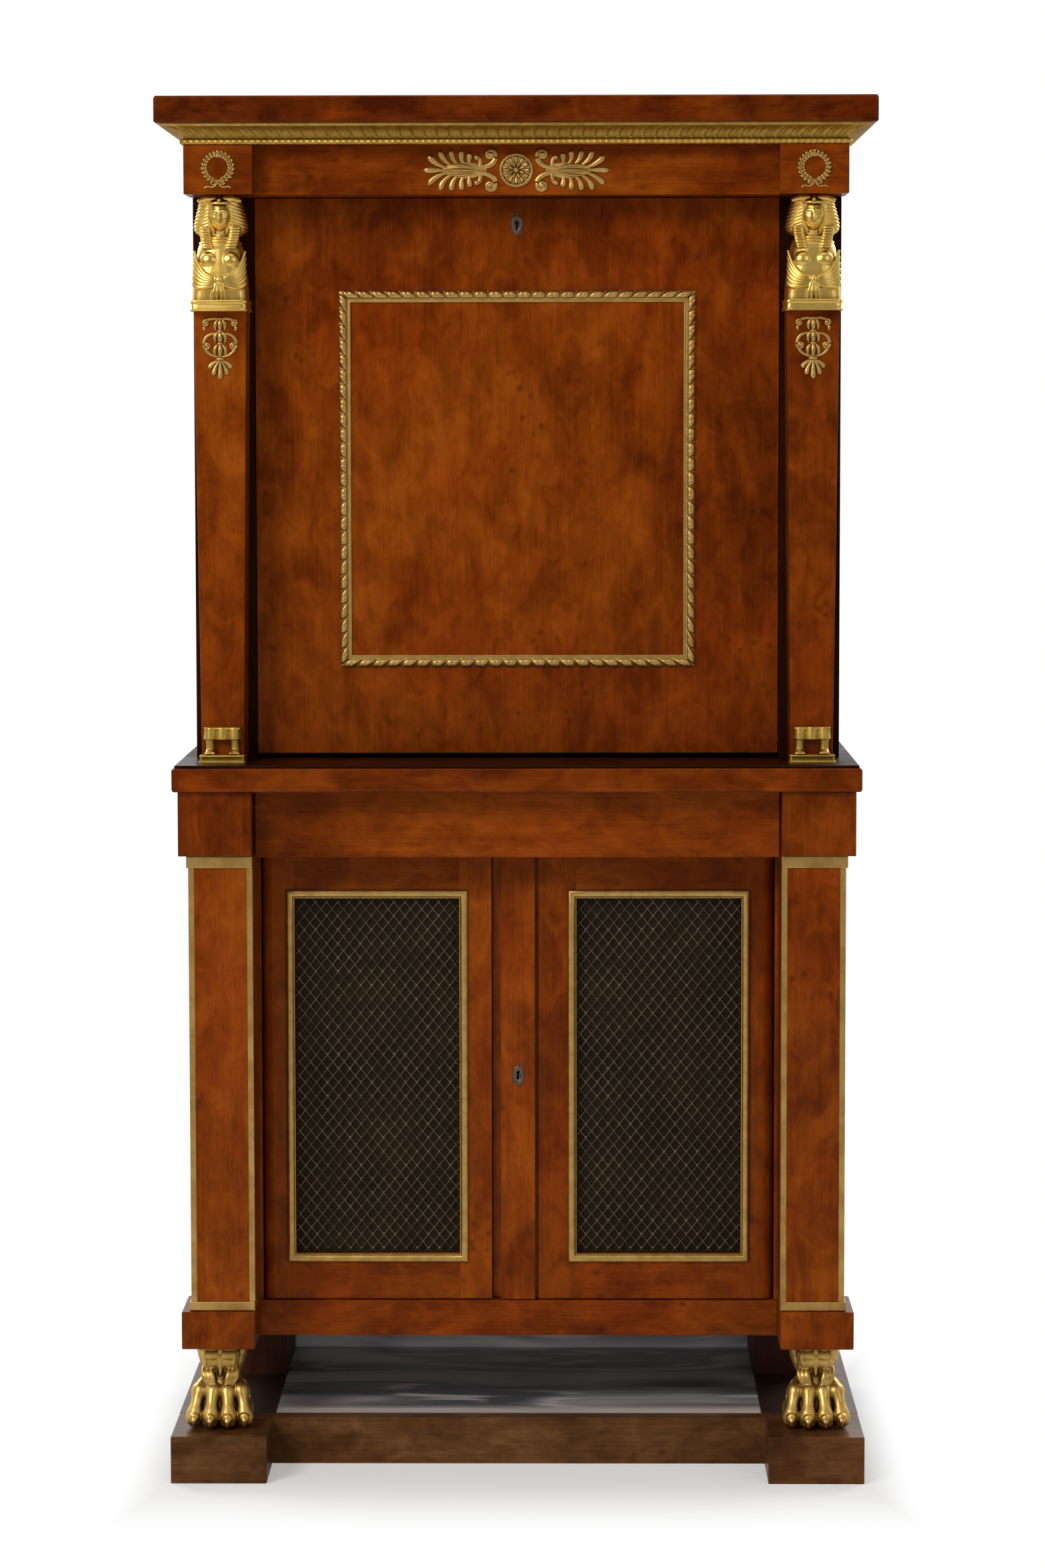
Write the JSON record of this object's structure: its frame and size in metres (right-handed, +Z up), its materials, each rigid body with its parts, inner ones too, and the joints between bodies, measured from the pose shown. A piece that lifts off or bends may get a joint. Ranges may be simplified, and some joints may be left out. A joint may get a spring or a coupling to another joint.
{
  "type": "escritoire",
  "caption": "Upright fall-front escritoire: writing fall over pigeonholes, frieze drawer and grille-door cupboard, gilt busts and paw feet on a plinth.",
  "frame": {"origin": "on the floor, at the middle of the plinth", "axes": "+Z up, -Y to the front where the fall and doors open, +X to the right seen from the front"},
  "size_m": [0.75, 0.465, 1.45],
  "materials": {
    "veneer": "French-polished figured veneer",
    "ebonised": "satin black",
    "plinth_wood": "dark polished",
    "case_wood": "waxed",
    "slab_stone": "polished, pale veins",
    "gilt": "aged gilding",
    "brass": "lacquered",
    "grille_wire": "dark patina",
    "silk": "dark silk",
    "leather": "hide"
  },
  "bodies": {
    "carcass": {"cornice_slab": "veneer", "upper_frieze": "veneer", "upper_pilaster_left": "veneer", "upper_pilaster_right": "veneer", "ledge_board": "veneer", "pilaster_blocks": "veneer", "lower_pilaster_left": "veneer", "lower_pilaster_right": "veneer", "sill_rail": "veneer", "upper_side_left": "veneer", "upper_side_right": "veneer", "lower_side_left": "veneer", "lower_side_right": "veneer", "ledge_top": "ebonised", "upper_stiles": "ebonised", "plinth_frame": "plinth_wood", "rear_feet": "plinth_wood", "platform_board": "case_wood", "lower_back": "case_wood", "upper_back": "case_wood", "cupboard_floor": "case_wood", "cupboard_shelf": "case_wood", "door_jambs": "case_wood", "drawer_divider": "case_wood", "side_linings": "case_wood", "head_rail": "case_wood", "cornice_core": "case_wood", "interior_floor": "case_wood", "pigeonhole_nest": "case_wood", "platform_slab": "slab_stone", "paw_foot_left": "gilt", "paw_foot_right": "gilt", "bust_left": "gilt", "bust_right": "gilt", "cove_moulding": "gilt", "pilaster_mounts": "gilt", "foot_mounts": "gilt", "frieze_mount": "gilt", "pilaster_brass": "brass", "hinge_pins": "brass"},
    "fall": {"fall_panel": "veneer", "fall_moulding": "gilt", "fall_lock": "brass", "writing_leather": "leather"},
    "fall_bolt": {"fall_bolt": "brass"},
    "left_door": {"left_door_frame": "veneer", "left_door_moulding": "gilt", "left_door_grille": "grille_wire", "left_door_silk": "silk", "flush_bolt_plate": "brass"},
    "flush_bolt": {"flush_bolt": "brass"},
    "right_door": {"right_door_frame": "veneer", "right_door_moulding": "gilt", "right_door_grille": "grille_wire", "right_door_silk": "silk", "meeting_strip": "veneer", "door_lock": "brass"},
    "door_bolt": {"door_bolt": "brass"},
    "frieze_drawer": {"drawer_front": "veneer", "drawer_box": "case_wood"}
  },
  "joints": [
    {"name": "fall_hinge", "type": "hinge", "parent": "carcass", "child": "fall", "pos_m": [0, -0.0855, 0.773], "axis": [1, 0, 0], "range_deg": [0, 90]},
    {"name": "left_door_hinge", "type": "hinge", "parent": "carcass", "child": "left_door", "pos_m": [-0.2625, -0.1005, 0.173], "axis": [0, 0, -1], "range_deg": [0, 85]},
    {"name": "right_door_hinge", "type": "hinge", "parent": "carcass", "child": "right_door", "pos_m": [0.2625, -0.1005, 0.173], "axis": [0, 0, 1], "range_deg": [0, 85]},
    {"name": "drawer_slide", "type": "slide", "parent": "carcass", "child": "frieze_drawer", "axis": [0, -1, 0], "range_m": [0, 0.24]},
    {"name": "fall_bolt_slide", "type": "slide", "parent": "fall", "child": "fall_bolt", "axis": [0, 0, 1], "range_m": [0, 0.008]},
    {"name": "door_bolt_slide", "type": "slide", "parent": "right_door", "child": "door_bolt", "axis": [-1, 0, 0], "range_m": [0, 0.008]},
    {"name": "flush_bolt_slide", "type": "slide", "parent": "left_door", "child": "flush_bolt", "axis": [0, 0, 1], "range_m": [0, 0.008]}
  ]
}
